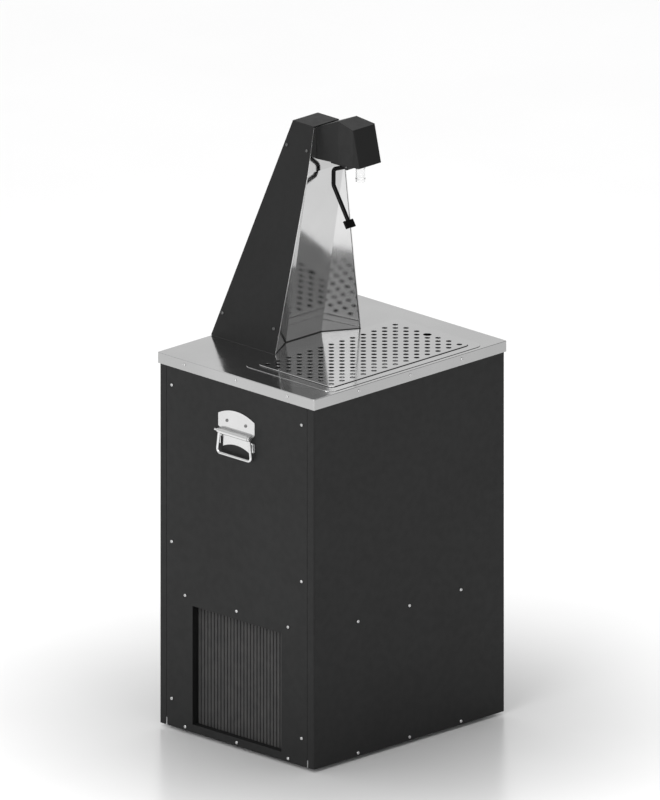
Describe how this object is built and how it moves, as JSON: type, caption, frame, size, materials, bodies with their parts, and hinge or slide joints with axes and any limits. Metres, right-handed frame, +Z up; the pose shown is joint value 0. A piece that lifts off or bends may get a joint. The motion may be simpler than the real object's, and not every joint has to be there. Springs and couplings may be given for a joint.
{
  "type": "chilled drinks dispenser cabinet",
  "caption": "Floor-standing chilled-drinks dispenser: black sheet-metal cabinet with cooling plant, stainless worktop with drip tray, and a tapered serving tower with a push-lever tap.",
  "frame": {"origin": "on the floor, under the middle of the cabinet", "axes": "+X to the right seen from the front, +Y from the front to the rear, +Z up"},
  "size_m": [0.6226, 0.4914, 1.402],
  "materials": {
    "black_powder": "fine-textured powder coat",
    "hood_black": "satin powder coat",
    "brushed_stainless": "brushed",
    "polished_stainless": "polished stainless",
    "handle_steel": "bright plated steel",
    "screw_steel": "plated steel",
    "screw_black": "blackened steel",
    "galvanised": "galvanised sheet",
    "filter_black": "pleated mesh",
    "rubber_black": "matt rubber",
    "valve_black": "moulded",
    "lever_black": "gloss coat on a steel rod",
    "clear_plastic": "clear moulding",
    "spring_steel": "stainless",
    "white_plastic": "moulded",
    "foam": "rigid foam",
    "copper": "drawn copper tube",
    "aluminium_fins": "fins",
    "motor_black": "enamel",
    "grey_plastic": "moulded",
    "black_plastic": "moulded",
    "valve_brass": "cast brass"
  },
  "bodies": {
    "cabinet": {"agitator_motor": "motor_black", "air_filter": "filter_black", "base_pan": "galvanised", "cabinet_screws": "screw_steel", "compressor": "motor_black", "condenser": "aluminium_fins", "corner_posts": "galvanised", "drain_fitting": "white_plastic", "drain_hose": "rubber_black", "drip_tray": "brushed_stainless", "fan_motor": "motor_black", "fan_shroud": "galvanised", "front_panel": "black_powder", "handle_pins": "handle_steel", "handle_screws": "handle_steel", "head_arm": "galvanised", "hood": "hood_black", "hood_screws": "screw_steel", "left_handle_plate": "handle_steel", "left_side_panel": "black_powder", "left_tower_side": "black_powder", "levelling_feet": "rubber_black", "lever_pin": "screw_black", "middle_shelf": "galvanised", "outlet_bars": "black_powder", "power_unit": "black_plastic", "rear_panel": "black_powder", "refrigerant_circuit": "copper", "right_handle_plate": "handle_steel", "right_side_panel": "black_powder", "right_tower_side": "black_powder", "service_bay": "grey_plastic", "tank_insulation": "foam", "tank_lid": "foam", "tank_liner": "spring_steel", "top_frame": "galvanised", "tower_back": "black_powder", "tower_cap": "black_powder", "tower_face": "polished_stainless", "tower_foot_bolts": "screw_steel", "tower_frames": "galvanised", "tower_gasket": "rubber_black", "tower_screws": "screw_black", "valve_body": "valve_black", "valve_spring": "spring_steel", "vent_frames": "black_powder", "water_line": "spring_steel", "water_valve": "valve_brass", "worktop": "brushed_stainless", "worktop_screws": "screw_steel"},
    "left_bail": {"left_handle_bail": "handle_steel"},
    "right_bail": {"right_handle_bail": "handle_steel"},
    "grid": {"drip_grid": "polished_stainless"},
    "tap_lever": {"lever": "lever_black"},
    "plunger": {"valve_plunger": "spring_steel"},
    "tap_nozzle": {"nozzle": "clear_plastic"},
    "fan_wheel": {"fan": "grey_plastic"},
    "stirrer": {"agitator": "spring_steel"},
    "rocker": {"power_rocker": "black_plastic"}
  },
  "joints": [
    {"name": "left_bail_swing", "type": "hinge", "parent": "cabinet", "child": "left_bail", "pos_m": [-0.3046, 0, 0.73], "axis": [0, 1, 0], "range_deg": [0, 90]},
    {"name": "right_bail_swing", "type": "hinge", "parent": "cabinet", "child": "right_bail", "pos_m": [0.3046, 0, 0.73], "axis": [0, -1, 0], "range_deg": [0, 90]},
    {"name": "grid_lift", "type": "slide", "parent": "cabinet", "child": "grid", "axis": [0, 0, 1], "range_m": [0, 0.06]},
    {"name": "lever_push", "type": "hinge", "parent": "cabinet", "child": "tap_lever", "pos_m": [0, -0.06, 1.296], "axis": [1, 0, 0], "range_deg": [0, 10], "stiffness_Nm_per_rad": 0.4},
    {"name": "plunger_lift", "type": "slide", "parent": "cabinet", "child": "plunger", "axis": [0, 0, 1], "range_m": [0, 0.0044], "deforming": ["valve_spring"]},
    {"name": "nozzle_pull", "type": "slide", "parent": "cabinet", "child": "tap_nozzle", "axis": [0, 0, -1], "range_m": [0, 0.02]},
    {"name": "fan_spin", "type": "hinge", "parent": "cabinet", "child": "fan_wheel", "pos_m": [-0.2, 0, 0.152], "axis": [1, 0, 0], "continuous": true},
    {"name": "stirrer_spin", "type": "hinge", "parent": "cabinet", "child": "stirrer", "pos_m": [0, -0.02, 0.6], "axis": [0, 0, 1], "continuous": true},
    {"name": "rocker_tip", "type": "hinge", "parent": "cabinet", "child": "rocker", "pos_m": [0.205, 0.1941, 0.068], "axis": [1, 0, 0], "range_deg": [0, 16]}
  ],
  "couplings": [
    {"joint": "plunger_lift", "follows": "lever_push", "m_per_rad": 0.025}
  ]
}
